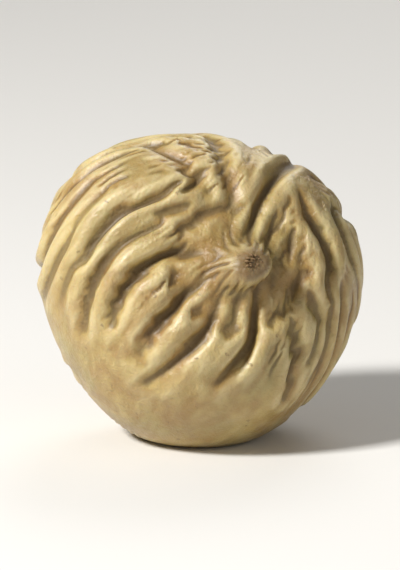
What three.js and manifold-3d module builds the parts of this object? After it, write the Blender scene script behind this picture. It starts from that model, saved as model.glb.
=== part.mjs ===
// A dried fig lying on its side: one closed body, shrunken and furrowed, with its neck, its eye and the
// flat that it rests on. Millimetres, +Z up, the resting flat on z = 0.
import * as THREE from "three";
import { mergeVertices } from "three/addons/utils/BufferGeometryUtils.js";
import Module from "manifold-3d";

// Driving dimensions, in millimetres and degrees.
const BODY_RADIUS = 20; // widest half width, square to the fig's own axis
const NECK_TIP = 18.3; // from the fig's centre along its axis to the stalk scar
const EYE_DEPTH = 15.2; // from the centre to the rim of the eye's hollow
const NECK_RADIUS = 3.3; // the shrivelled neck where it meets the body
const NECK_WOBBLE = 0.35; // how far the neck's section is out of round
const SCAR_RADIUS = 1.2; // the cut end of the stalk
const NECK_LEAN = 1.6; // how far the neck's tip leans aside
const NECK_LEAN_ANGLE = -35; // towards the lower right
const EYE_RADIUS = 1.8; // the raised lip round the eye
const EYE_PIT = 2.6; // how deep the eye runs in from the eye's rim
const LOPSIDED = 0.012; // the girth's unevenness, as shares of the radius: fuller on one side,
const OVAL = 0.012; // longer one way than the other,
const THREE_SIDED = 0.042; // and slightly three-sided
const FULLEST_SIDE = 160; // where the lopsided and oval shares are largest, as an angle round the axis
const FIRST_CORNER = 147; // where the first of the three rounded corners lies
const AXIS_TURN = 17.8; // the axis, swung to the right of the front
const AXIS_RISE = 23.9; // the axis, raised above level, neck end up
const FLAT_SAG = 1.7; // how much of the round side the resting flat takes away
const FLAT_BLEND = 0.5; // how softly the round side turns into the flat
const FLAT_CUT = 0.15; // the last of the round underside, cut off level
const FACES_PER_EDGE = 17; // fineness of the mesh: 20 * (this + 1)^2 triangles

const RAD = Math.PI / 180;

// The fig's half section from the stalk scar over the shoulder to the eye: distance from the axis, and
// height along it.
const HALF_SECTION = [
  [0, NECK_TIP - 0.35],
  [0.6, NECK_TIP - 0.3],
  [SCAR_RADIUS, NECK_TIP],
  [0.58 * NECK_RADIUS, NECK_TIP - 0.5],
  [0.8 * NECK_RADIUS, NECK_TIP - 1.5],
  [NECK_RADIUS, NECK_TIP - 2.7],
  [4.9, NECK_TIP - 3.6],
  [7.4, NECK_TIP - 3.9],
  [10.4, NECK_TIP - 4.1],
  [0.71 * BODY_RADIUS, 12.4],
  [0.88 * BODY_RADIUS, 8.7],
  [0.98 * BODY_RADIUS, 3.6],
  [BODY_RADIUS, -1.4],
  [0.93 * BODY_RADIUS, -7.0],
  [0.76 * BODY_RADIUS, -11.6],
  [0.53 * BODY_RADIUS, 0.8 - EYE_DEPTH],
  [6.4, -EYE_DEPTH],
  [2.1 * EYE_RADIUS, 0.65 - EYE_DEPTH],
  [1.4 * EYE_RADIUS, 0.55 - EYE_DEPTH],
  [EYE_RADIUS, 0.2 - EYE_DEPTH],
  [0.62 * EYE_RADIUS, 0.5 - EYE_DEPTH],
  [0.35 * EYE_RADIUS, 0.7 * EYE_PIT - EYE_DEPTH],
  [0, EYE_PIT - EYE_DEPTH],
];

// The deep folds of the skin. Each runs from a start to an end, given as the angle round the axis and the
// reach, which is 0 at the stalk scar, 90 at the girth and 180 at the eye; then its depth.
const FOLDS = [
  [140, 40, 178, 61, 0.85],
  [132, 28, 150, 40, 0.5],
  [156, 33, 203, 72, 0.6],
  [168, 23, 206, 58, 1.15],
  [213, 27, 226, 56, 1.0],
  [246, 28, 237, 62, 1.0],
  [292, 25, 264, 48, 0.9],
  [318, 30, 300, 62, 0.5],
  [38, 38, 4, 43, 0.6],
  [340, 26, 332, 52, 0.5],
  [12, 26, 352, 30, 0.4],
  [70, 28, 58, 62, 0.7],
  [94, 27, 92, 70, 0.75],
  [112, 30, 122, 78, 0.65],
  [30, 55, 26, 88, 0.5],
  [76, 72, 72, 116, 0.6],
  [106, 88, 100, 130, 0.5],
  [140, 84, 150, 128, 0.55],
  [176, 92, 172, 134, 0.45],
  [345, 74, 340, 118, 0.55],
  [308, 84, 314, 126, 0.45],
  [20, 104, 12, 138, 0.45],
  [48, 96, 52, 140, 0.55],
];
const FOLD_WIDTH = 1.25; // from a fold's bottom to where its side has mostly risen
const RIDGE_WIDTH = 2.6; // how far the ridges beside a fold reach
const RIDGE_SHARE = 0.45; // how much of a fold's depth stands up in those ridges

const halfSection = new THREE.SplineCurve(HALF_SECTION.map(([r, h]) => new THREE.Vector2(r, h)));
halfSection.arcLengthDivisions = 800;

// A fraction from 0 to 1 as a value passes from a to b.
const rise = (value, a, b) => THREE.MathUtils.smoothstep(value, a, b);

// The body's uneven girth: fullest at the upper left, drawn in towards the bottom.
function girth(angle) {
  const lopsided = LOPSIDED * Math.cos(angle - FULLEST_SIDE * RAD);
  const oval = OVAL * Math.cos(2 * (angle - FULLEST_SIDE * RAD));
  const threeSided = THREE_SIDED * Math.cos(3 * (angle - FIRST_CORNER * RAD));
  return 1 + lopsided + oval + threeSided;
}

// A point of the smooth body, in the fig's own frame, whose axis is Z with the neck up.
function smoothBody(angle, reach) {
  const { x: radius, y: height } = halfSection.getPointAt(Math.min(Math.max(reach / 180, 0), 1));
  const swell = 1 + (girth(angle) - 1) * rise(radius, 4, 14);
  const lean = NECK_LEAN * rise(height, 12.5, NECK_TIP);
  const wobble = NECK_WOBBLE * Math.sin(2 * angle + 0.6) * rise(height, 13, 16);
  const spread = radius * swell + wobble * Math.min(radius / NECK_RADIUS, 1);
  return new THREE.Vector3(
    spread * Math.cos(angle) + lean * Math.cos(NECK_LEAN_ANGLE * RAD),
    spread * Math.sin(angle) + lean * Math.sin(NECK_LEAN_ANGLE * RAD),
    height,
  );
}

// Points along a fold, on the smooth body.
function foldPath([angleA, reachA, angleB, reachB]) {
  const steps = 60;
  return Array.from({ length: steps + 1 }, (_, i) => {
    const t = i / steps;
    const angle = THREE.MathUtils.lerp(angleA, angleB, t) * RAD;
    return smoothBody(angle, THREE.MathUtils.lerp(reachA, reachB, t));
  });
}

const folds = FOLDS.map((fold) => ({ path: foldPath(fold), depth: fold[4] }));

// How far the skin stands off the smooth body at a point: down in the folds, up in the ridges between.
function foldHeight(point) {
  let furrow = 0;
  let ridge = 0;
  for (const { path, depth } of folds) {
    let nearest = Infinity;
    let along = 0;
    path.forEach((p, i) => {
      const distance = p.distanceTo(point);
      if (distance < nearest) {
        nearest = distance;
        along = i / (path.length - 1);
      }
    });
    const size = depth * Math.sin(Math.PI * (0.12 + 0.76 * along)) ** 0.8;
    furrow = Math.max(furrow, size * Math.exp(-((nearest / FOLD_WIDTH) ** 2)));
    ridge = Math.max(ridge, RIDGE_SHARE * size * Math.exp(-((nearest / RIDGE_WIDTH) ** 2)));
  }
  return ridge - (1 + RIDGE_SHARE) * furrow;
}

// The body's outward direction at a point, from two short steps across its surface.
function outward(angle, reach) {
  const step = 0.4;
  const a = smoothBody(angle + step * RAD, reach);
  const b = smoothBody(angle - step * RAD, reach);
  const c = smoothBody(angle, Math.min(reach + step, 179.9));
  const d = smoothBody(angle, Math.max(reach - step, 0.1));
  return c.sub(d).cross(a.sub(b)).normalize();
}

// The furrowed skin at a direction from the fig's centre.
function skinPoint(direction) {
  const reach = Math.acos(THREE.MathUtils.clamp(direction.z, -1, 1)) / RAD;
  const angle = Math.atan2(direction.y, direction.x);
  const point = smoothBody(angle, reach);
  const clear = rise(reach, 14, 24) * (1 - rise(reach, 150, 165));
  if (clear === 0) return point;
  return point.addScaledVector(outward(angle, reach), clear * foldHeight(point));
}

// The fig's own frame turned to how it lies: its axis swung round and raised, then set down.
function layDown(points) {
  const turn = AXIS_TURN * RAD;
  const tilt = AXIS_RISE * RAD;
  const axis = new THREE.Vector3(
    Math.sin(turn) * Math.cos(tilt),
    -Math.cos(turn) * Math.cos(tilt),
    Math.sin(tilt),
  );
  const right = new THREE.Vector3(1, 0, 0).addScaledVector(axis, -axis.x).normalize();
  const up = new THREE.Vector3().crossVectors(axis, right);
  const lying = new THREE.Matrix4().makeBasis(right, up, axis);
  points.forEach((p) => p.applyMatrix4(lying));

  // The underside is pressed: it nears the plane softly, and the last of it is cut level.
  const lowest = Math.min(...points.map((p) => p.z));
  const plane = lowest + FLAT_SAG;
  for (const p of points) {
    const above = (p.z - plane) / FLAT_BLEND;
    p.z = above > 30 ? p.z - plane : FLAT_BLEND * Math.log1p(Math.exp(above));
    p.z -= FLAT_CUT;
  }
}

// A closed mesh as a solid, and back.
function toSolid(wasm, geometry) {
  return new wasm.Manifold(
    new wasm.Mesh({
      numProp: 3,
      vertProperties: new Float32Array(geometry.getAttribute("position").array),
      triVerts: new Uint32Array(geometry.index.array),
    }),
  );
}

function toGeometry(solid) {
  const { vertProperties, triVerts } = solid.getMesh();
  const geometry = new THREE.BufferGeometry();
  geometry.setAttribute("position", new THREE.BufferAttribute(vertProperties, 3));
  geometry.setIndex(new THREE.BufferAttribute(triVerts, 1));
  geometry.computeVertexNormals();
  return geometry;
}

function bareMesh(geometry) {
  geometry.deleteAttribute("normal");
  geometry.deleteAttribute("uv");
  return mergeVertices(geometry, 1e-5);
}

async function makeFig() {
  const wasm = await Module();
  wasm.setup();

  const skin = bareMesh(new THREE.IcosahedronGeometry(1, FACES_PER_EDGE));
  const position = skin.getAttribute("position");
  const points = Array.from({ length: position.count }, (_, i) =>
    skinPoint(new THREE.Vector3().fromBufferAttribute(position, i).normalize()),
  );
  layDown(points);
  points.forEach((p, i) => position.setXYZ(i, p.x, p.y, p.z));

  const below = bareMesh(new THREE.BoxGeometry(4 * BODY_RADIUS, 4 * BODY_RADIUS, BODY_RADIUS));
  below.translate(0, 0, -BODY_RADIUS / 2);
  const resting = toGeometry(toSolid(wasm, skin).subtract(toSolid(wasm, below)));

  // The origin is at the middle of the box, on the resting flat.
  resting.computeBoundingBox();
  const middle = resting.boundingBox.getCenter(new THREE.Vector3());
  resting.translate(-middle.x, -middle.y, 0);

  const material = new THREE.MeshStandardMaterial({
    color: 0xcdb27a,
    roughness: 0.55,
    metalness: 0,
  });
  const fig = new THREE.Mesh(resting, material);
  fig.name = "dried_fig";
  return fig;
}

const root = new THREE.Group();
root.add(await makeFig());

export default root;
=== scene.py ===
"""A dried fig, lying on its side with its neck towards the viewer: the skin that dried and folded on the
pulp, the scales that close its eye, and the fibres of the cut stalk. Metres, unless a name says mm."""

import math

import bmesh
import bpy
import numpy as np
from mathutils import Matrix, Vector
from mathutils.bvhtree import BVHTree


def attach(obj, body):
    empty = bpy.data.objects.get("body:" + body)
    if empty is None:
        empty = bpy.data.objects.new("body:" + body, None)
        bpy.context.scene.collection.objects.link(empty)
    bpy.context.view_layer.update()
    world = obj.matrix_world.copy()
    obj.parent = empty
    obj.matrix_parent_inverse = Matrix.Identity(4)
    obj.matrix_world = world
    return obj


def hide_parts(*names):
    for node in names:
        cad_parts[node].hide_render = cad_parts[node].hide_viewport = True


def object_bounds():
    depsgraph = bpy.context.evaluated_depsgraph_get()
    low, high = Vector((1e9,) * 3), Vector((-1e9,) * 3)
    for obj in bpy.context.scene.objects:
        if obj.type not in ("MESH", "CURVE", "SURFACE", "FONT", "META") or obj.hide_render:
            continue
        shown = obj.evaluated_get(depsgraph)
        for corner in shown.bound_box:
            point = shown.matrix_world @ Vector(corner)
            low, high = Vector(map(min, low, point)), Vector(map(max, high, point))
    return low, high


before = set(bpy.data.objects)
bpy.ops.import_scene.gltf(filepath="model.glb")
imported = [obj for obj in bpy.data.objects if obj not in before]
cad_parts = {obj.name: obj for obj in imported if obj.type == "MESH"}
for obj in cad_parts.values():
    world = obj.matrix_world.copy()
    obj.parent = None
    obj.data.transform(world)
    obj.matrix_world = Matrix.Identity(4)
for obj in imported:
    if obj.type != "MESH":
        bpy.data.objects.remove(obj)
cad_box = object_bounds()
scene = bpy.context.scene

# ---------------------------------------------------------------------------------------------------
# The camera: a long lens, a little above the fig, with the fig filling most of the frame's width.
# ---------------------------------------------------------------------------------------------------
CAMERA_RISE = math.radians(12)
CAMERA_DISTANCE = 0.45
SEEN_HEIGHT = 0.0715

low_corner, high_corner = cad_box
fig_middle = (low_corner + high_corner) / 2
towards_camera = Vector((0, -math.cos(CAMERA_RISE), math.sin(CAMERA_RISE)))
camera_data = bpy.data.cameras.new("camera")
camera_data.sensor_width = 36
camera_data.lens = 36 * CAMERA_DISTANCE / SEEN_HEIGHT
camera_data.clip_start = 0.01
camera = bpy.data.objects.new("camera", camera_data)
camera.location = fig_middle + towards_camera * CAMERA_DISTANCE
camera.rotation_euler = towards_camera.to_track_quat("Z", "Y").to_euler()
scene.collection.objects.link(camera)
scene.camera = camera

# ---------------------------------------------------------------------------------------------------
# The fig's skin: thin, leathery and grown onto the pulp. The pulp shrank as it dried and the skin did
# not, so it buckled into folds that run from the neck, with finer wrinkles on them. Here a net of
# springs, grown a little too large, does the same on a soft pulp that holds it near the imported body.
# ---------------------------------------------------------------------------------------------------
MM = 0.001
AXIS_TURN = math.radians(17.8)  # the fig's axis, swung to the right of the front
AXIS_RISE = math.radians(23.9)  # the axis, raised above level, neck end up
HEART = np.array([0.19, 0.09, 18.41])  # the fig's centre, mm
NECK_REACH_MM = 18.3  # from the centre to the stalk scar
EYE_REACH_MM = 15.2  # from the centre to the rim of the eye's hollow
COARSE_CELLS = 63  # cells along one side of the net; the fine net has twice as many
CLEAR_OF_BODY_MM = 45  # far enough from the centre to be outside the body
PINCH_RIGHT_MM = 13.0  # the pinch that the folds fan from, from the centre to the right,
PINCH_UP_MM = 22  # up,
PINCH_FRONT_MM = 6  # and to the front
PINCH_ON_SKIN_MM = 18.5  # from the centre to the skin under the pinch
CHEEK_LEAN = math.radians(20)  # how far the smooth cheek lies to the left of straight down

neck_way = np.array([
    math.sin(AXIS_TURN) * math.cos(AXIS_RISE),
    -math.cos(AXIS_TURN) * math.cos(AXIS_RISE),
    math.sin(AXIS_RISE),
])
right_way = np.array([1.0, 0.0, 0.0]) - neck_way[0] * neck_way
right_way /= np.linalg.norm(right_way)
up_way = np.cross(neck_way, right_way)
fig_axes = np.stack([right_way, up_way, neck_way])


def fade(value, start, end):
    """0 to 1 as the value passes from start to end."""
    t = np.clip((value - start) / (end - start), 0, 1)
    return t * t * (3 - 2 * t)


def mottle(points, size_mm, seed, layers=1):
    """Soft random patches about size_mm across, mostly within -1 to 1."""
    rng = np.random.default_rng(seed)
    total = np.zeros(len(points))
    share = 1.0
    for layer in range(layers):
        lattice = rng.standard_normal((48, 48, 48))
        place = points / size_mm * 2**layer + 1000.5 + 7.3 * layer
        cell = np.floor(place).astype(int)
        f = fade(place - cell, 0, 1)
        for corner in np.ndindex(2, 2, 2):
            weight = np.prod(np.where(corner, f, 1 - f), axis=1)
            i, j, k = ((cell + corner) % 48).T
            total += share * weight * lattice[i, j, k]
        share *= 0.5
    return total


def net_ball(cells):
    """A ball of nearly square net cells: points on a unit sphere, and the four corners of each cell."""
    ball = bmesh.new()
    bmesh.ops.create_cube(ball, size=2)
    bmesh.ops.subdivide_edges(ball, edges=ball.edges, cuts=cells - 1, use_grid_fill=True)
    ball.verts.index_update()
    points = np.tan(np.array([v.co for v in ball.verts]) * math.pi / 4)
    corners = np.array([[v.index for v in f.verts] for f in ball.faces])
    ball.free()
    return points / np.linalg.norm(points, axis=1, keepdims=True), corners


def neighbours(corners, count):
    """The eight points round each point, and 1 or 0 for whether each of the eight is really there."""
    sides = [(0, 1), (1, 2), (2, 3), (3, 0), (0, 2), (1, 3)]
    pairs = np.concatenate([corners[:, side] for side in sides])
    pairs = np.unique(np.sort(pairs, axis=1), axis=0)
    one = np.concatenate([pairs[:, 0], pairs[:, 1]])
    other = np.concatenate([pairs[:, 1], pairs[:, 0]])
    order = np.argsort(one, kind="stable")
    one, other = one[order], other[order]
    turn = np.arange(len(one)) - np.searchsorted(one, np.arange(count))[one]
    near = np.tile(np.arange(count), (8, 1))
    there = np.zeros((8, count), np.float32)
    near[turn, one] = other
    there[turn, one] = 1
    return near, there


def outward(points, corners):
    """The skin's outward direction at each point."""
    across = points[corners[:, 2]] - points[corners[:, 0]]
    down = points[corners[:, 3]] - points[corners[:, 1]]
    face = np.cross(across, down)
    total = np.zeros_like(points)
    for corner in corners.T:
        for part in range(3):
            total[:, part] += np.bincount(corner, face[:, part], len(points))
    return total / np.linalg.norm(total, axis=1, keepdims=True)


def flat_on(directions, normals):
    """Directions laid flat on the skin, one long."""
    flat = directions - normals * (directions * normals).sum(1, keepdims=True)
    return flat / (np.linalg.norm(flat, axis=1, keepdims=True) + 1e-9)


def smoothed(values, near, there, times, share=1.0):
    """Values drawn towards the mean of their neighbours, several times over."""
    weight = (there / there.sum(0)).T
    for _ in range(times):
        mean = np.einsum("nk,nk...->n...", weight, values[near.T])
        values = values + share * (mean - values)
    return values


def grow_skin(rest, corners, across, along, fold_way, stiffness, hold, seed_height, steps):
    """The skin after it has grown: by the share `across` square to the folds and `along` down them.
    `stiffness` resists bending and `hold` is the pulp's grip, weaker inwards than outwards, so that the
    folds are round ridges with narrow clefts between. `seed_height` is the unevenness it starts from."""
    near, there = neighbours(corners, len(rest))
    normal = np.ascontiguousarray(outward(rest, corners).T, dtype=np.float32)
    home = np.ascontiguousarray(rest.T, dtype=np.float32)
    way = np.ascontiguousarray(fold_way.T, dtype=np.float32)
    across, along, stiffness = (np.asarray(a, np.float32) for a in (across, along, stiffness))

    def around(values):
        return np.take(values, near, axis=-1, mode="clip")

    span = around(home) - home[:, None]
    length = np.sqrt(np.einsum("ckn,ckn->kn", span, span)) + 1e-9
    span /= length
    in_line = np.einsum("ckn,cn->kn", span, way) ** 2
    in_line = 0.5 * (in_line + np.einsum("ckn,ckn->kn", span, around(way)) ** 2)
    growth = 0.5 * (across + around(across)) * (1 - in_line)
    growth += 0.5 * (along + around(along)) * in_line
    mean_weight = there / there.sum(0)
    grip_out, grip_in, grip_aside = 1.2 * hold, 0.85 * hold, 0.25 * hold
    time_step, drag = np.float32(0.4), np.float32(0.94)

    place = home + normal * seed_height.astype(np.float32)
    speed = np.zeros_like(place)
    for step in range(steps):
        grown = np.float32(min(1, 2 * (step + 1) / steps))
        gap = around(place) - place[:, None]
        gap_length = np.sqrt(np.einsum("ckn,ckn->kn", gap, gap)) + 1e-9
        pull = (1 - length * (1 + growth * grown) / gap_length) * there
        force = np.einsum("kn,ckn->cn", pull, gap)
        moved = place - home
        bend = stiffness * (np.einsum("kn,ckn->cn", mean_weight, around(moved)) - moved)
        force -= np.einsum("kn,ckn->cn", mean_weight, around(bend)) - bend
        height = (moved * normal).sum(0)
        grip = np.where(height > 0, grip_out, grip_in) - grip_aside
        force -= normal * (grip * height).astype(np.float32) + moved * np.float32(grip_aside)
        speed = (speed + force * time_step) * drag
        place = place + speed * time_step
        under = place[2] < 0
        place[2, under] = 0
        speed[2, under] = 0
    return place.T.astype(float)


def build_mesh(name, points_mm, corners):
    mesh = bpy.data.meshes.new(name)
    mesh.from_pydata((points_mm * MM).tolist(), [], corners.tolist())
    mesh.shade_smooth()
    return mesh


def twice_as_fine(points_mm, corners):
    """The net with each cell cut in four, and rounded."""
    coarse = bpy.data.objects.new("coarse_net", build_mesh("coarse_net", points_mm, corners))
    scene.collection.objects.link(coarse)
    coarse.modifiers.new("fine", "SUBSURF").levels = 1
    graph = bpy.context.evaluated_depsgraph_get()
    mesh = bpy.data.meshes.new_from_object(coarse.evaluated_get(graph))
    bpy.data.objects.remove(coarse)
    fine = np.array([v.co for v in mesh.vertices], float) / MM
    return fine, np.array([p.vertices[:] for p in mesh.polygons])


# The smooth start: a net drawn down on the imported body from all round, its cells evened out.
body_mesh = bmesh.new()
body_mesh.from_mesh(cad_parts["dried_fig"].data)
bmesh.ops.remove_doubles(body_mesh, verts=body_mesh.verts, dist=1e-6)
bmesh.ops.scale(body_mesh, vec=(1 / MM,) * 3, verts=body_mesh.verts)
body = BVHTree.FromBMesh(body_mesh)
body_mesh.free()

ball, net = net_ball(COARSE_CELLS)
rays = ball @ fig_axes
pulp = np.array([body.ray_cast(Vector(HEART + CLEAR_OF_BODY_MM * ray), Vector(-ray))[0] for ray in rays])
net_near, net_there = neighbours(net, len(pulp))
for evening in range(24):
    shift = smoothed(pulp, net_near, net_there, 1) - pulp
    normals = outward(pulp, net)
    pulp += 0.8 * (shift - normals * (shift * normals).sum(1, keepdims=True))
    if evening % 4 == 3:
        pulp = np.array([body.find_nearest(Vector(p))[0] for p in pulp])
for _ in range(3):
    pulp = smoothed(pulp, net_near, net_there, 1, 0.5)
    pulp = smoothed(pulp, net_near, net_there, 1, -0.52)
pulp[:, 2] = np.maximum(pulp[:, 2], 0)


class Places:
    """Where each point of the skin lies on the fig, all in mm."""

    def __init__(self, points, normals):
        across, upward, self.neckward = ((points - HEART) @ fig_axes.T).T
        self.off_axis = np.hypot(across, upward)
        self.from_neck = np.linalg.norm(points - HEART - neck_way * (NECK_REACH_MM - 1.5), axis=1)
        self.from_eye = np.linalg.norm(points - HEART + neck_way * (EYE_REACH_MM - 0.7), axis=1)
        self.downward = -upward * math.cos(CHEEK_LEAN) - across * math.sin(CHEEK_LEAN)
        self.front = fade(self.neckward, -12, 6)
        self.smooth_cheek = fade(self.downward, 7, 15) * fade(self.neckward, -10, 2)

        # The folds fan out from a pinch at the upper right. Under the pinch itself, round the neck and
        # on the back they run from neck to eye.
        camera_up = np.array([0, math.sin(CAMERA_RISE), math.cos(CAMERA_RISE)])
        pinch = HEART + np.array([PINCH_RIGHT_MM, 0, 0]) + PINCH_UP_MM * camera_up
        pinch = pinch + PINCH_FRONT_MM * np.array(towards_camera)
        spoke = points - HEART - np.outer((points - HEART) @ neck_way, neck_way)
        meridian = spoke / 15 * np.clip(self.neckward / 15, -1, 1)[:, None] - 0.8 * neck_way
        fanned = fade(self.neckward, -6, 6) * (1 - np.exp(-((self.off_axis / 6) ** 2)))
        under_pinch = HEART + PINCH_ON_SKIN_MM * (pinch - HEART) / np.linalg.norm(pinch - HEART)
        fanned *= fade(np.linalg.norm(points - under_pinch, axis=1), 3, 10)
        meridian = flat_on(meridian, normals)
        fan = flat_on(points - pinch, normals)
        fan *= np.where((fan * meridian).sum(1) < 0, -1, 1)[:, None]
        mixed = meridian * (1 - fanned)[:, None] + fan * fanned[:, None]
        self.fold_way = flat_on(mixed, normals)


# First growth: the folds, about 4 mm apart, strongest in the neck half.
FOLD_GROWTH_BACK = 0.07
FOLD_GROWTH_FRONT = 0.08
on = Places(pulp, outward(pulp, net))
folding = FOLD_GROWTH_BACK + FOLD_GROWTH_FRONT * on.front + 0.05 * mottle(pulp, 8, 3, 2)
folding *= 1 - 0.8 * on.smooth_cheek
folding *= (0.45 + 0.55 * fade(on.from_eye, 4, 13)) * fade(on.from_eye, 1.5, 3)
folding *= 0.4 + 0.6 * fade(on.from_neck, 3, 8)
folding = np.clip(folding, 0, 0.4)
folded = grow_skin(
    pulp,
    net,
    across=folding,
    along=0.06 * fade(mottle(pulp, 7, 41, 2), 0, 1.5) * fade(on.from_eye, 6, 14),
    fold_way=on.fold_way,
    stiffness=0.5 * np.exp(0.4 * mottle(pulp, 6, 5, 2)),
    hold=0.035,
    seed_height=0.08 * mottle(pulp, 1.6, 11) * fade(on.from_eye, 3, 9),
    steps=900,
)

# Second growth, on a net twice as fine: the small wrinkles across and between the folds.
WRINKLE_GROWTH = 0.066
fine, fine_net = twice_as_fine(folded, net)
on = Places(fine, outward(fine, fine_net))
fine_near, fine_there = neighbours(fine_net, len(fine))
relief_mm = np.linalg.norm(fine - smoothed(fine, fine_near, fine_there, 40), axis=1)
busy = fade(smoothed(relief_mm, fine_near, fine_there, 25), 0.05, 0.16)
wrinkling = WRINKLE_GROWTH * (0.25 + 0.85 * busy) + 0.02 * mottle(fine, 4, 21, 2)
wrinkling *= 1 - 0.5 * on.smooth_cheek
wrinkling += 0.08 * (1 - fade(on.from_neck, 2.5, 6)) * fade(on.from_neck, 0.8, 2)
wrinkling = np.clip(wrinkling, 0, 0.13)
skin_points = grow_skin(
    fine,
    fine_net,
    across=wrinkling,
    along=(0.05 + 0.3 * busy) * wrinkling * fade(on.from_neck, 2, 6),
    fold_way=on.fold_way,
    stiffness=0.22 * np.exp(0.5 * mottle(fine, 3, 23, 2)),
    hold=0.06,
    seed_height=0.05 * mottle(fine, 0.9, 37, 2),
    steps=240,
)

skin = bpy.data.objects.new("dried_fig_skin", build_mesh("dried_fig_skin", skin_points, fine_net))
scene.collection.objects.link(skin)

# What the colours read: how high each point stands over the skin around it, near and far, and how close
# it is to the eye and the neck.
skin_normals = outward(smoothed(skin_points, fine_near, fine_there, 6), fine_net)


def height_over(times):
    """How far each point stands above the mean of the skin around it, mm."""
    around = smoothed(skin_points, fine_near, fine_there, times)
    return ((skin_points - around) * skin_normals).sum(1)


def write_values(name, values):
    attribute = skin.data.attributes.new(name, "FLOAT", "POINT")
    attribute.data.foreach_set("value", np.asarray(values, np.float32))


# The two heights also set painted light on the ridges and painted shade in the clefts, in the skin's colour
# below.
write_values("wrinkle", np.clip(0.5 + height_over(6) / 0.16, 0, 1))
write_values("fold", np.clip(0.5 + height_over(60) / 1.0, 0, 1))
write_values("eye", 1 - fade(on.from_eye + 1.1 * mottle(skin_points, 2.2, 51, 3), 1.5, 6.5))
write_values("neck", 1 - fade(on.from_neck, 2.0, 6.0))
write_values("pit", (1 - fade(on.off_axis, 1.0, 1.9)) * (on.from_eye < 5))
write_values("scar", fade(on.neckward, 17.3, 18.2))

# Fine streaks drawn out along the folds, where the dried fibres of the skin show through.
gap = skin_points[fine_near] - skin_points
gap /= np.linalg.norm(gap, axis=2, keepdims=True) + 1e-9
along_fold = fine_there * (gap * on.fold_way).sum(2) ** 8
along_fold /= along_fold.sum(0)
streak = mottle(skin_points, 0.45, 61, 2)
for _ in range(16):
    streak = 0.3 * streak + 0.7 * (along_fold * streak[fine_near]).sum(0)
write_values("streak", np.clip(0.5 + 0.22 * streak / streak.std(), 0, 1))


class Shader:
    """A material's node tree, built one node at a time."""

    def __init__(self, name):
        self.material = bpy.data.materials.new(name)
        self.material.use_nodes = True
        self.tree = self.material.node_tree
        self.surface = self.tree.nodes["Principled BSDF"]
        self.place = self.add("ShaderNodeTexCoord").outputs["Object"]

    def add(self, kind, settings=None, **inputs):
        node = self.tree.nodes.new(kind)
        for setting, value in (settings or {}).items():
            setattr(node, setting, value)
        for name, value in inputs.items():
            self.feed(node.inputs[name.replace("_", " ")], value)
        return node

    def feed(self, socket, value):
        if isinstance(value, bpy.types.NodeSocket):
            self.tree.links.new(value, socket)
        else:
            socket.default_value = value

    def read(self, name):
        return self.add("ShaderNodeAttribute", {"attribute_name": name}).outputs["Fac"]

    def noise(self, per_mm, detail=4.0, rough=0.55, twist=0.0, seed=0.0):
        at = self.add("ShaderNodeMapping", None, Vector=self.place, Location=(seed, seed, -seed))
        node = self.add("ShaderNodeTexNoise", None, Vector=at.outputs[0])
        for name, value in (("Scale", per_mm / MM), ("Detail", detail), ("Roughness", rough)):
            node.inputs[name].default_value = value
        node.inputs["Distortion"].default_value = twist
        return node.outputs["Fac"]

    def spread(self, value, low, high, to_low=0.0, to_high=1.0):
        node = self.add("ShaderNodeMapRange", {"interpolation_type": "SMOOTHSTEP"}, Value=value)
        for name, number in zip(("From Min", "From Max", "To Min", "To Max"), (low, high, to_low, to_high)):
            node.inputs[name].default_value = number
        return node.outputs["Result"]

    def math(self, operation, a, b):
        node = self.add("ShaderNodeMath", {"operation": operation})
        for socket, value in zip(node.inputs, (a, b)):
            self.feed(socket, value)
        return node.outputs[0]

    def blend(self, share, a, b):
        node = self.add("ShaderNodeMix", {"data_type": "RGBA"})
        for socket, value in ((node.inputs[0], share), (node.inputs[6], a), (node.inputs[7], b)):
            self.feed(socket, value)
        return node.outputs[2]

    def bump(self, height, depth_mm, below=None):
        node = self.add("ShaderNodeBump", None, Height=height, Distance=depth_mm * MM)
        node.inputs["Strength"].default_value = 1.0
        if below is not None:
            self.feed(node.inputs["Normal"], below)
        return node.outputs["Normal"]


# The skin's colours, from its pale bloom, lit in part by painted light, to the painted shade in the eye's
# opening.
STRAW = (0.47, 0.345, 0.125, 1)
HONEY = (0.34, 0.205, 0.06, 1)
OLIVE = (0.29, 0.24, 0.085, 1)
CLEFT = (0.10, 0.058, 0.018, 1)
BLOOM_AND_PAINTED_LIGHT = (0.62, 0.51, 0.265, 1)
AMBER = (0.24, 0.115, 0.03, 1)
FRECKLE = (0.15, 0.08, 0.027, 1)
PIT_SHADE = (0.035, 0.016, 0.006, 1)

look = Shader("fig_skin")
fold = look.read("fold")
wrinkle = look.read("wrinkle")
patches = look.noise(0.11, 3, 0.6, seed=0.3)
clouds = look.noise(0.45, 5, 0.6, 0.4, seed=0.7)
grain = look.noise(2.2, 6, 0.65, seed=0.1)
syrup = look.noise(0.16, 4, 0.6, 0.5, seed=3.1)
greener = look.noise(0.09, 3, 0.55, seed=5.2)
colour = look.blend(look.spread(patches, 0.42, 0.6), STRAW, HONEY)
colour = look.blend(look.spread(greener, 0.48, 0.62, 0, 0.5), colour, OLIVE)
colour = look.blend(look.spread(syrup, 0.52, 0.66, 0, 0.45), colour, AMBER)
colour = look.blend(look.spread(clouds, 0.42, 0.75, 0, 0.5), colour, HONEY)
streak = look.read("streak")
colour = look.blend(look.spread(streak, 0.5, 0.1, 0, 0.4), colour, HONEY)
# Paler towards the ridges' tops: partly the skin's own sugar bloom, partly painted light on the ridges.
lit = look.math("MULTIPLY", look.spread(fold, 0.45, 0.85), look.spread(wrinkle, 0.35, 0.8))
lit = look.math("MULTIPLY", lit, look.spread(streak, 0.25, 0.75, 0.3, 0.8))
colour = look.blend(lit, colour, BLOOM_AND_PAINTED_LIGHT)
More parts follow.
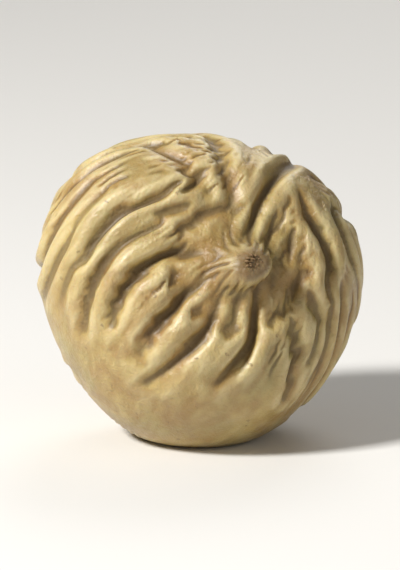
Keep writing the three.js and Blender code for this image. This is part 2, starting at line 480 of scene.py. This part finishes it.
# Darker brown in the folds' clefts and the wrinkles' hollows: partly the skin's own colour, partly painted
# shade.
deep = look.spread(fold, 0.52, 0.0, 0, 0.85)
fine_deep = look.spread(wrinkle, 0.5, 0.0, 0, 0.6)
colour = look.blend(look.math("MAXIMUM", deep, fine_deep), colour, CLEFT)
colour = look.blend(look.spread(grain, 0.55, 0.8, 0, 0.35), colour, HONEY)
ragged = look.add("ShaderNodeTexNoise", None, Vector=look.place, Scale=2.5 / MM, Detail=3.0)
shifted = look.add("ShaderNodeVectorMath", {"operation": "MULTIPLY_ADD"})
for socket, value in zip(shifted.inputs, (ragged.outputs["Color"], (0.9 * MM,) * 3, look.place)):
    look.feed(socket, value)
dots = look.add("ShaderNodeTexVoronoi", None, Vector=shifted.outputs[0], Scale=0.6 / MM)
dot = look.spread(dots.outputs["Distance"], 0.2, 0.04)
some = look.spread(look.noise(0.3, 2, 0.5, seed=2.0), 0.5, 0.6)
colour = look.blend(look.math("MULTIPLY", look.math("MULTIPLY", dot, some), 0.6), colour, FRECKLE)
colour = look.blend(look.math("MULTIPLY", look.read("eye"), 0.6), colour, AMBER)
colour = look.blend(look.math("MULTIPLY", look.read("neck"), 0.3), colour, CLEFT)
colour = look.blend(look.math("MULTIPLY", look.read("scar"), 0.7), colour, FRECKLE)
# Painted shade: the eye's opening, drawn nearly black on the skin between the scales.
colour = look.blend(look.math("MULTIPLY", look.read("pit"), 0.9), colour, PIT_SHADE)
look.feed(look.surface.inputs["Base Color"], colour)

polish = look.math("ADD", look.spread(grain, 0.3, 0.75, 0.29, 0.47), look.math("MULTIPLY", deep, 0.45))
look.feed(look.surface.inputs["Roughness"], polish)
look.surface.inputs["IOR"].default_value = 1.48
look.surface.inputs["Coat Weight"].default_value = 0.18
look.surface.inputs["Coat Roughness"].default_value = 0.34
look.surface.inputs["Subsurface Weight"].default_value = 0.3
look.surface.inputs["Subsurface Radius"].default_value = (1.0, 0.55, 0.22)
look.surface.inputs["Subsurface Scale"].default_value = 1.8 * MM

creping = look.noise(1.1, 5, 0.6, 0.6, seed=1.3)
pores = look.add("ShaderNodeTexVoronoi", {"feature": "SMOOTH_F1"}, Vector=look.place, Scale=2.4 / MM)
relief = look.bump(creping, 0.2)
relief = look.bump(streak, 0.12, relief)
relief = look.bump(pores.outputs["Distance"], 0.045, relief)
relief = look.bump(grain, 0.07, relief)
look.feed(look.surface.inputs["Normal"], relief)
skin.data.materials.append(look.material)

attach(skin, "root")
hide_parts("dried_fig")

# ---------------------------------------------------------------------------------------------------
# The eye's scales. The fig's eye, opposite the neck, is closed by rings of small stiff scales that lean
# over one another into the hole. They grew with the fig, and dried brown and curled.
# ---------------------------------------------------------------------------------------------------
def ring_tree():
    """Geometry Nodes: what comes in is set in rings round a point, each copy leaning in over the hole."""
    tree = bpy.data.node_groups.new("set_in_rings", "GeometryNodeTree")
    panel = tree.interface
    panel.new_socket("Geometry", in_out="INPUT", socket_type="NodeSocketGeometry")
    for name, kind in (
        ("Per ring", "Int"),
        ("Rings", "Int"),
        ("Outer radius", "Float"),
        ("Ring step", "Float"),
        ("Ring sink", "Float"),
        ("Lean", "Float"),
        ("Lean step", "Float"),
        ("Unevenness", "Float"),
        ("Seed", "Int"),
        ("Place", "Vector"),
        ("Facing", "Rotation"),
        ("Material", "Material"),
    ):
        panel.new_socket(name, in_out="INPUT", socket_type="NodeSocket" + kind)
    panel.new_socket("Geometry", in_out="OUTPUT", socket_type="NodeSocketGeometry")
    given = tree.nodes.new("NodeGroupInput").outputs
    result = tree.nodes.new("NodeGroupOutput").inputs

    def add(kind, settings=None, **inputs):
        node = tree.nodes.new(kind)
        for setting, value in (settings or {}).items():
            setattr(node, setting, value)
        for name, value in inputs.items():
            connect(node.inputs[name.replace("_", " ")], value)
        return node

    def connect(socket, value):
        if isinstance(value, bpy.types.NodeSocket):
            tree.links.new(value, socket)
        else:
            socket.default_value = value

    def math_node(operation, *values):
        node = add("ShaderNodeMath", {"operation": operation})
        for socket, value in zip(node.inputs, values):
            connect(socket, value)
        return node.outputs[0]

    def chance(seed_step, reach):
        """A random number from -reach to reach for each copy."""
        seed = math_node("ADD", given["Seed"], seed_step)
        node = add("FunctionNodeRandomValue", {"data_type": "FLOAT"}, Seed=seed)
        connect(node.inputs[2], math_node("MULTIPLY", reach, -1.0))
        connect(node.inputs[3], reach)
        return node.outputs[1]

    uneven = given["Unevenness"]
    index = add("GeometryNodeInputIndex").outputs[0]
    ring = math_node("FLOOR", math_node("DIVIDE", index, given["Per ring"]))
    turn = math_node("ADD", math_node("ADD", index, math_node("MULTIPLY", ring, 0.5)), chance(1, uneven))
    angle = math_node("MULTIPLY", math_node("DIVIDE", turn, given["Per ring"]), 2 * math.pi)
    radius = math_node("SUBTRACT", given["Outer radius"], math_node("MULTIPLY", ring, given["Ring step"]))
    strayed = chance(2, math_node("MULTIPLY", uneven, 0.4))
    radius = math_node("MULTIPLY", radius, math_node("ADD", 1.0, strayed))
    at = add("ShaderNodeCombineXYZ")
    connect(at.inputs[0], math_node("MULTIPLY", radius, math_node("COSINE", angle)))
    connect(at.inputs[1], math_node("MULTIPLY", radius, math_node("SINE", angle)))
    connect(at.inputs[2], math_node("MULTIPLY", math_node("MULTIPLY", ring, given["Ring sink"]), -1.0))
    lean = math_node("ADD", given["Lean"], math_node("MULTIPLY", ring, given["Lean step"]))
    lean = math_node("ADD", lean, chance(3, uneven))
    stance = add("ShaderNodeCombineXYZ")
    connect(stance.inputs[0], lean)
    connect(stance.inputs[1], chance(4, uneven))
    connect(stance.inputs[2], math_node("ADD", angle, math.pi / 2))
    count = math_node("MULTIPLY", given["Per ring"], given["Rings"])
    points = add("GeometryNodePoints", None, Count=count, Position=at.outputs[0])
    size = math_node("ADD", 1.0, chance(5, uneven))
    copies = add(
        "GeometryNodeInstanceOnPoints",
        None,
        Points=points.outputs[0],
        Instance=given["Geometry"],
        Rotation=stance.outputs[0],
        Scale=size,
    )
    moved = add("GeometryNodeTransform", None, Geometry=copies.outputs[0])
    connect(moved.inputs["Translation"], given["Place"])
    connect(moved.inputs["Rotation"], given["Facing"])
    real = add("GeometryNodeRealizeInstances", None, Geometry=moved.outputs[0])
    painted = add("GeometryNodeSetMaterial", None, Geometry=real.outputs[0])
    connect(painted.inputs["Material"], given["Material"])
    tree.links.new(painted.outputs[0], result[0])
    return tree


rings = ring_tree()


def set_in_rings(name, single, **sizes):
    """A plain mesh object: copies of the single mesh, set in rings by the tree."""
    pattern = bpy.data.objects.new(name + "_pattern", single)
    scene.collection.objects.link(pattern)
    modifier = pattern.modifiers.new("rings", "NODES")
    modifier.node_group = rings
    sockets = {i.name: i.identifier for i in rings.interface.items_tree if i.in_out == "INPUT"}
    for size, value in sizes.items():
        modifier[sockets[size.replace("_", " ")]] = value
    graph = bpy.context.evaluated_depsgraph_get()
    mesh = bpy.data.meshes.new_from_object(pattern.evaluated_get(graph))
    mesh.name = name
    bpy.data.objects.remove(pattern)
    piece = bpy.data.objects.new(name, mesh)
    scene.collection.objects.link(piece)
    mesh.shade_smooth()
    return piece


def shaped_ball(name, shape, subdivisions=3):
    """A small closed mesh: the unit ball's points, each moved by the shape."""
    ball = bmesh.new()
    bmesh.ops.create_icosphere(ball, subdivisions=subdivisions, radius=1)
    for vertex in ball.verts:
        vertex.co = shape(vertex.co)
    mesh = bpy.data.meshes.new(name)
    ball.to_mesh(mesh)
    ball.free()
    return mesh


SCALE_LENGTH = 1.15 * MM
SCALE_WIDTH = 0.9 * MM
SCALE_THICKNESS = 0.15 * MM


def scale_shape(p):
    """A pointed flap: its root at the origin, its tip along +Y, cupped across and curled down its length."""
    reach = (p.y + 1) / 2
    width = SCALE_WIDTH / 2 * math.sqrt(max(0.0, 1 - abs(2 * reach - 0.8) ** 2.2 / 1.6))
    x = p.x * width
    curl = -0.35 * SCALE_LENGTH * reach**2
    cup = 0.35 * x * x / SCALE_WIDTH
    return Vector((x, SCALE_LENGTH * (reach - 0.25), p.z * SCALE_THICKNESS / 2 + curl + cup))


SCALE_DARK = (0.055, 0.024, 0.008, 1)
SCALE_PALE = (0.27, 0.125, 0.035, 1)
scales_look = Shader("eye_scale")
streaks = scales_look.noise(2.6, 4, 0.6, seed=0.5)
browns = scales_look.blend(streaks, SCALE_DARK, SCALE_PALE)
scales_look.feed(scales_look.surface.inputs["Base Color"], browns)
scales_look.surface.inputs["Roughness"].default_value = 0.55
scales_look.feed(scales_look.surface.inputs["Normal"], scales_look.bump(streaks, 0.08))

EYE_SCALE_SINK = 0.2  # the roots sit this far below the lip, mm
lip = (on.from_eye < 4) & (on.off_axis > 1.4) & (on.off_axis < 2.2)
lip_height = np.mean((skin_points[lip] - HEART) @ neck_way)
eye_place = Vector(HEART + neck_way * (lip_height + EYE_SCALE_SINK)) * MM
eye_scales = set_in_rings(
    "eye_scales",
    shaped_ball("one_scale", scale_shape),
    Per_ring=7,
    Rings=3,
    Outer_radius=1.2 * MM,
    Ring_step=0.34 * MM,
    Ring_sink=0.2 * MM,
    Lean=math.radians(-14),
    Lean_step=math.radians(-18),
    Unevenness=0.26,
    Seed=4,
    Place=eye_place,
    Facing=Vector(-neck_way).to_track_quat("Z", "Y").to_euler(),
    Material=scales_look.material,
)
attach(eye_scales, "root")

# ---------------------------------------------------------------------------------------------------
# The stalk's fibres. Where the fig was picked, the woody strands that fed it stand a little proud of the
# shrunken end of the neck, in a ring round a soft core.
# ---------------------------------------------------------------------------------------------------
FIBRE_LENGTH = 0.5 * MM
FIBRE_RADIUS = 0.1 * MM


def fibre_shape(p):
    """A stub of a strand standing on the origin, blunt at the top and thicker at the root."""
    height = (p.z + 1) / 2
    side = FIBRE_RADIUS * (1.5 - 0.8 * height) / max(0.45, math.sqrt(max(0.0, 1 - p.z * p.z)))
    return Vector((p.x * side, p.y * side * 1.5, FIBRE_LENGTH * (height - 0.5)))


FIBRE_DARK = (0.09, 0.045, 0.018, 1)
FIBRE_PALE = (0.30, 0.19, 0.085, 1)
fibre_look = Shader("stalk_fibre")
weather = fibre_look.noise(1.8, 4, 0.6, seed=0.9)
woods = fibre_look.blend(weather, FIBRE_DARK, FIBRE_PALE)
fibre_look.feed(fibre_look.surface.inputs["Base Color"], woods)
fibre_look.surface.inputs["Roughness"].default_value = 0.8
fibre_look.feed(fibre_look.surface.inputs["Normal"], fibre_look.bump(weather, 0.06))

NECK_LEAN_MM = 1.6
NECK_LEAN_ANGLE = math.radians(-35)
lean_way = right_way * math.cos(NECK_LEAN_ANGLE) + up_way * math.sin(NECK_LEAN_ANGLE)
scar = HEART + neck_way * NECK_REACH_MM + NECK_LEAN_MM * lean_way
scar_facing = neck_way + 0.25 * lean_way
from_scar = np.linalg.norm(skin_points - scar, axis=1)
scar_place = skin_points[from_scar < 1.0].mean(0)
stalk_fibres = set_in_rings(
    "stalk_fibres",
    shaped_ball("one_fibre", fibre_shape, 2),
    Per_ring=11,
    Rings=2,
    Outer_radius=0.92 * MM,
    Ring_step=0.42 * MM,
    Ring_sink=0.02 * MM,
    Lean=math.radians(-6),
    Lean_step=math.radians(4),
    Unevenness=0.3,
    Seed=9,
    Place=Vector(scar_place) * MM,
    Facing=Vector(scar_facing).to_track_quat("Z", "Y").to_euler(),
    Material=fibre_look.material,
)
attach(stalk_fibres, "root")

# ---------------------------------------------------------------------------------------------------
# The table and the light: a pale plain surface, a soft key from the upper left and a weak fill.
# ---------------------------------------------------------------------------------------------------
floor_mesh = bpy.data.meshes.new("floor")
floor_mesh.from_pydata([(-3, -3, 0), (3, -3, 0), (3, 3, 0), (-3, 3, 0)], [], [(0, 1, 2, 3)])
floor = bpy.data.objects.new("floor", floor_mesh)
scene.collection.objects.link(floor)
paper = Shader("pale_paper")
paper.surface.inputs["Base Color"].default_value = (0.80, 0.78, 0.74, 1)
paper.surface.inputs["Roughness"].default_value = 0.75
floor.data.materials.append(paper.material)


def soft_light(name, place, watts, size):
    data = bpy.data.lights.new(name, "AREA")
    data.energy = watts
    data.size = size
    light = bpy.data.objects.new(name, data)
    light.location = place
    light.rotation_euler = (Vector(place) - fig_middle).to_track_quat("Z", "Y").to_euler()
    scene.collection.objects.link(light)


soft_light("key", (-0.42, -0.26, 0.46), 6.1, 0.12)
soft_light("fill", (0.55, -0.35, 0.30), 0.6, 0.45)
soft_light("back", (0.15, 0.60, 0.50), 1.6, 0.40)
world = bpy.data.worlds.new("studio")
world.use_nodes = True
world.node_tree.nodes["Background"].inputs["Color"].default_value = (1.0, 0.98, 0.95, 1)
world.node_tree.nodes["Background"].inputs["Strength"].default_value = 0.15
scene.world = world
scene.view_settings.view_transform = "Standard"
